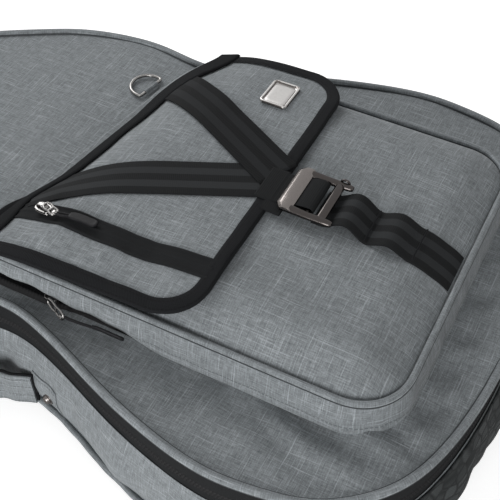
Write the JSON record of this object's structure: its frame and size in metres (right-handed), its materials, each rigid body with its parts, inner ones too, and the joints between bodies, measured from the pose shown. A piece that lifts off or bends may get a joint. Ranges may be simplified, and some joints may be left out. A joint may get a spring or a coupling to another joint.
{
  "type": "padded guitar gig bag",
  "caption": "Padded gig bag for a guitar, with zipped lid, stuffed front pocket, strapped flap, hook buckle, side handle and shoulder straps.",
  "frame": {"origin": "centre of the bag's footprint on the surface that it lies on", "axes": "+Z out of the bag's front, +Y from the tail to the neck, +X to the right seen from the front"},
  "size_m": [0.4764, 1.1572, 0.1992],
  "materials": {
    "grey_cloth": "matte melange weave",
    "black_cloth": "matte plain weave",
    "webbing": "ribbed polyester webbing",
    "lining_cloth": "brushed lining",
    "foam": "lined foam block",
    "boot_rubber": "matte, moulded relief",
    "zip_coil": "satin nylon",
    "gunmetal": "satin gunmetal plating",
    "bright_metal": "polished nickel plating",
    "tab_rubber": "matte",
    "brushed_plate": "brushed face, polished rim"
  },
  "bodies": {
    "shell": {"back_panel": "grey_cloth", "side_wall": "grey_cloth", "back_lining": "lining_cloth", "back_piping": "grey_cloth", "lower_zip_tape": "black_cloth", "lower_zip_coil": "zip_coil", "fabric_hinge": "grey_cloth", "bottom_boot": "boot_rubber", "skid_strips": "boot_rubber", "head_boot": "boot_rubber", "handle_patches": "grey_cloth", "handle_rivets": "bright_metal", "neck_cradle": "foam", "tail_bumper": "foam", "head_pad": "foam", "back_pads": "lining_cloth", "strap_yoke": "black_cloth", "strap_anchors": "webbing"},
    "lid": {"front_panel": "grey_cloth", "front_lining": "lining_cloth", "front_piping": "grey_cloth", "upper_zip_band": "black_cloth", "upper_zip_coil": "zip_coil", "pocket_gusset": "grey_cloth", "pocket_face": "grey_cloth", "pocket_piping": "grey_cloth", "pocket_zip": "zip_coil", "lower_strap": "webbing", "dring_tab": "grey_cloth", "flap_root": "grey_cloth", "top_band": "webbing"},
    "flap": {"flap_panel": "grey_cloth", "flap_binding": "webbing", "v_straps": "webbing", "strap_junction": "webbing", "badge_plate": "brushed_plate", "flap_zip": "zip_coil"},
    "buckle": {"hook_buckle": "gunmetal", "buckle_loop": "webbing"},
    "d_ring": {"d_ring": "bright_metal"},
    "flap_slider": {"flap_slider": "bright_metal"},
    "flap_pull": {"flap_puller": "bright_metal", "flap_pull_tab": "tab_rubber"},
    "pocket_slider": {"pocket_slider": "bright_metal"},
    "pocket_pull": {"pocket_puller": "bright_metal", "pocket_pull_tab": "tab_rubber"},
    "main_slider_low": {"main_slider_low": "bright_metal"},
    "main_pull_low": {"main_puller_low": "tab_rubber"},
    "main_slider_high": {"main_slider_high": "bright_metal"},
    "main_pull_high": {"main_puller_high": "tab_rubber"},
    "side_handle": {"side_handle": "grey_cloth"},
    "hanging_loop": {"hanging_loop": "webbing"},
    "cradle_strap": {"cradle_strap": "webbing"},
    "shoulder_left": {"shoulder_pad_left": "black_cloth", "strap_webbing_left": "webbing"},
    "shoulder_right": {"shoulder_pad_right": "black_cloth", "strap_webbing_right": "webbing"}
  },
  "joints": [
    {"name": "lid_hinge", "type": "hinge", "parent": "shell", "child": "lid", "pos_m": [0.226, 0, 0.11], "axis": [0, 1, 0], "range_deg": [0, 120]},
    {"name": "flap_hinge", "type": "hinge", "parent": "lid", "child": "flap", "pos_m": [-0.00443, -0.16878, 0.1912], "axis": [-0.9866, 0.1633, 0], "range_deg": [0, 150]},
    {"name": "buckle_pivot", "type": "hinge", "parent": "flap", "child": "buckle", "pos_m": [0, -0.346, 0.1951], "axis": [-1, 0, 0], "range_deg": [0, 140]},
    {"name": "d_ring_pivot", "type": "hinge", "parent": "lid", "child": "d_ring", "pos_m": [0.11172, -0.15289, 0.1389], "axis": [0.9866, -0.1633, 0], "range_deg": [0, 110]},
    {"name": "flap_zip_slide", "type": "slide", "parent": "flap", "child": "flap_slider", "axis": [0, -1, 0], "range_m": [-0.012, 0.13]},
    {"name": "flap_pull_swing", "type": "hinge", "parent": "flap_slider", "child": "flap_pull", "pos_m": [-0.1, -0.1925, 0.1956], "axis": [-1, 0, 0], "range_deg": [0, 120]},
    {"name": "pocket_zip_slide", "type": "slide", "parent": "lid", "child": "pocket_slider", "axis": [0, -1, 0], "range_m": [-0.04, 0.06]},
    {"name": "pocket_pull_swing", "type": "hinge", "parent": "pocket_slider", "child": "pocket_pull", "pos_m": [-0.1546, -0.2285, 0.143], "axis": [-1, 0, 0], "range_deg": [0, 120]},
    {"name": "main_zip_slide_low", "type": "slide", "parent": "shell", "child": "main_slider_low", "axis": [0, -1, 0], "range_m": [0, 0.03]},
    {"name": "main_pull_swing_low", "type": "hinge", "parent": "main_slider_low", "child": "main_pull_low", "pos_m": [-0.1015, 0.175, 0.104], "axis": [0, 1, 0], "range_deg": [0, 100]},
    {"name": "main_zip_slide_high", "type": "slide", "parent": "shell", "child": "main_slider_high", "axis": [0, 1, 0], "range_m": [0, 0.03]},
    {"name": "main_pull_swing_high", "type": "hinge", "parent": "main_slider_high", "child": "main_pull_high", "pos_m": [-0.1015, 0.193, 0.104], "axis": [0, 1, 0], "range_deg": [0, 100]},
    {"name": "handle_lift", "type": "hinge", "parent": "shell", "child": "side_handle", "pos_m": [-0.18398, -0.20495, 0.07058], "axis": [0.0539, 0.9985, 0], "range_deg": [0, 60]},
    {"name": "loop_swing", "type": "hinge", "parent": "shell", "child": "hanging_loop", "pos_m": [0, 0.5586, 0.084], "axis": [1, 0, 0], "range_deg": [0, 110]},
    {"name": "cradle_strap_lift", "type": "hinge", "parent": "shell", "child": "cradle_strap", "pos_m": [-0.063, 0.149, 0.0796], "axis": [0, -1, 0], "range_deg": [0, 15]},
    {"name": "shoulder_swing_left", "type": "hinge", "parent": "shell", "child": "shoulder_left", "pos_m": [-0.066, -0.0783, 0.001], "axis": [1, 0, 0], "range_deg": [0, 90]},
    {"name": "shoulder_swing_right", "type": "hinge", "parent": "shell", "child": "shoulder_right", "pos_m": [0.066, -0.0783, 0.001], "axis": [1, 0, 0], "range_deg": [0, 90]}
  ]
}
